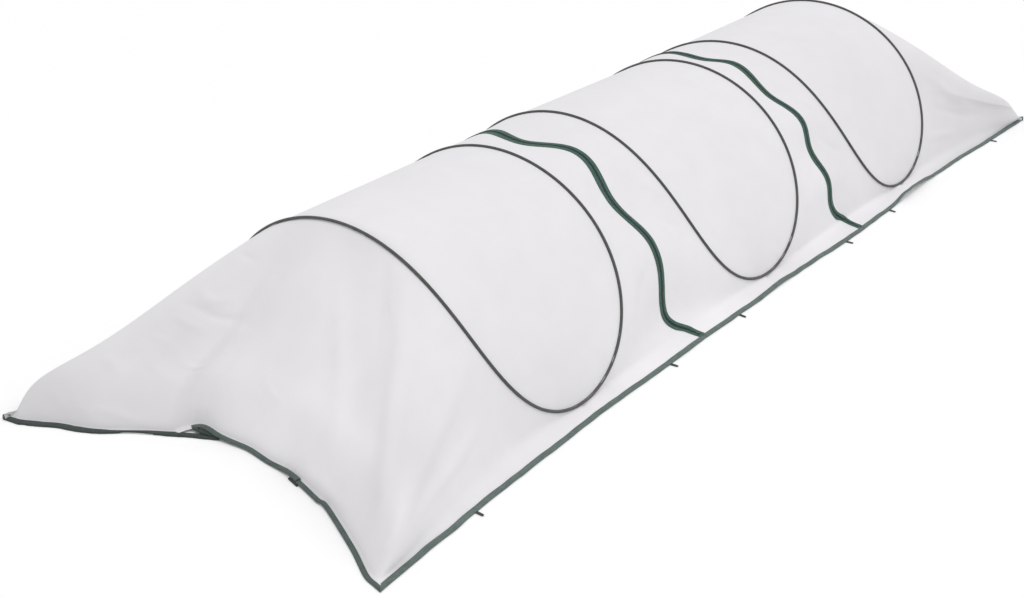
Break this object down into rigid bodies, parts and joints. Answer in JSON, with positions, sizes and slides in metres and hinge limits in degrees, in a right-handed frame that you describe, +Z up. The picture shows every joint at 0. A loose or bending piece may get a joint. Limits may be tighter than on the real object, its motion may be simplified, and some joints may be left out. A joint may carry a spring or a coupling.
{
  "type": "garden row cover tunnel",
  "caption": "Pop-up garden row cover: fleece modules on saddle-bent spring hoops, zipped end to end, with bound hems, flared end skirts and peg loops.",
  "frame": {"origin": "middle of the bounding box, at the level of the ground", "axes": "+X along the tunnel towards its far end in the picture, -Y towards the side that faces the viewer, +Z up"},
  "size_m": [2.9996, 1.0047, 0.4001],
  "materials": {
    "fleece": "thin matt white non-woven",
    "channel_tape": "matt dark grey woven",
    "hem_binding": "matt grey-green woven",
    "zip_tape": "matt dark green woven",
    "zip_teeth": "moulded, slight sheen",
    "zip_metal": "dark painted",
    "spring_steel": "drawn",
    "ferrule_metal": "crimped",
    "cord": "braided",
    "tab": "matt woven, blank"
  },
  "bodies": {
    "middle_module": {"middle_fleece_cover": "fleece", "middle_spring_wire": "spring_steel", "middle_wire_ferrule": "ferrule_metal", "middle_wire_channel": "channel_tape", "middle_near_hem_binding": "hem_binding", "middle_near_peg_loop_1": "cord", "middle_near_peg_loop_2": "cord", "middle_far_hem_binding": "hem_binding", "middle_far_peg_loop_1": "cord", "middle_far_peg_loop_2": "cord", "zip_1_rear_tape": "zip_tape", "zip_1_rear_teeth": "zip_teeth", "zip_1_rear_top_stop": "zip_metal", "zip_1_retainer_box": "zip_metal", "zip_2_front_tape": "zip_tape", "zip_2_front_teeth": "zip_teeth", "zip_2_front_top_stop": "zip_metal", "zip_2_insertion_pin": "zip_metal"},
    "front_module": {"front_fleece_cover": "fleece", "front_spring_wire": "spring_steel", "front_wire_ferrule": "ferrule_metal", "front_wire_channel": "channel_tape", "front_near_hem_binding": "hem_binding", "front_near_peg_loop_1": "cord", "front_near_peg_loop_2": "cord", "front_far_hem_binding": "hem_binding", "front_far_peg_loop_1": "cord", "front_far_peg_loop_2": "cord", "front_end_hem_binding": "hem_binding", "zip_1_front_tape": "zip_tape", "zip_1_front_teeth": "zip_teeth", "zip_1_front_top_stop": "zip_metal", "zip_1_insertion_pin": "zip_metal", "front_hem_tab": "tab"},
    "rear_module": {"rear_fleece_cover": "fleece", "rear_spring_wire": "spring_steel", "rear_wire_ferrule": "ferrule_metal", "rear_wire_channel": "channel_tape", "rear_near_hem_binding": "hem_binding", "rear_near_peg_loop_1": "cord", "rear_near_peg_loop_2": "cord", "rear_far_hem_binding": "hem_binding", "rear_far_peg_loop_1": "cord", "rear_far_peg_loop_2": "cord", "rear_end_hem_binding": "hem_binding", "zip_2_rear_tape": "zip_tape", "zip_2_rear_teeth": "zip_teeth", "zip_2_rear_top_stop": "zip_metal", "zip_2_retainer_box": "zip_metal"},
    "first_zip_slider": {"zip_1_slider": "zip_metal"},
    "first_zip_pull": {"zip_1_pull_tab": "zip_metal"},
    "second_zip_slider": {"zip_2_slider": "zip_metal"},
    "second_zip_pull": {"zip_2_pull_tab": "zip_metal"}
  },
  "joints": [
    {"name": "front_module_pull_off", "type": "slide", "parent": "middle_module", "child": "front_module", "axis": [-1, 0, 0], "range_m": [0, 0.5]},
    {"name": "rear_module_pull_off", "type": "slide", "parent": "middle_module", "child": "rear_module", "axis": [1, 0, 0], "range_m": [0, 0.5]},
    {"name": "first_zip_run", "type": "slide", "parent": "middle_module", "child": "first_zip_slider", "axis": [0, -0.347, 0.9379], "range_m": [0, 0.11]},
    {"name": "first_pull_hinge", "type": "hinge", "parent": "first_zip_slider", "child": "first_zip_pull", "pos_m": [-0.361, 0.40301, 0.04252], "axis": [1, 0, 0], "range_deg": [0, 170]},
    {"name": "second_zip_run", "type": "slide", "parent": "rear_module", "child": "second_zip_slider", "axis": [0, -0.347, 0.9379], "range_m": [0, 0.11]},
    {"name": "second_pull_hinge", "type": "hinge", "parent": "second_zip_slider", "child": "second_zip_pull", "pos_m": [0.4, 0.40301, 0.04252], "axis": [1, 0, 0], "range_deg": [0, 170]}
  ]
}
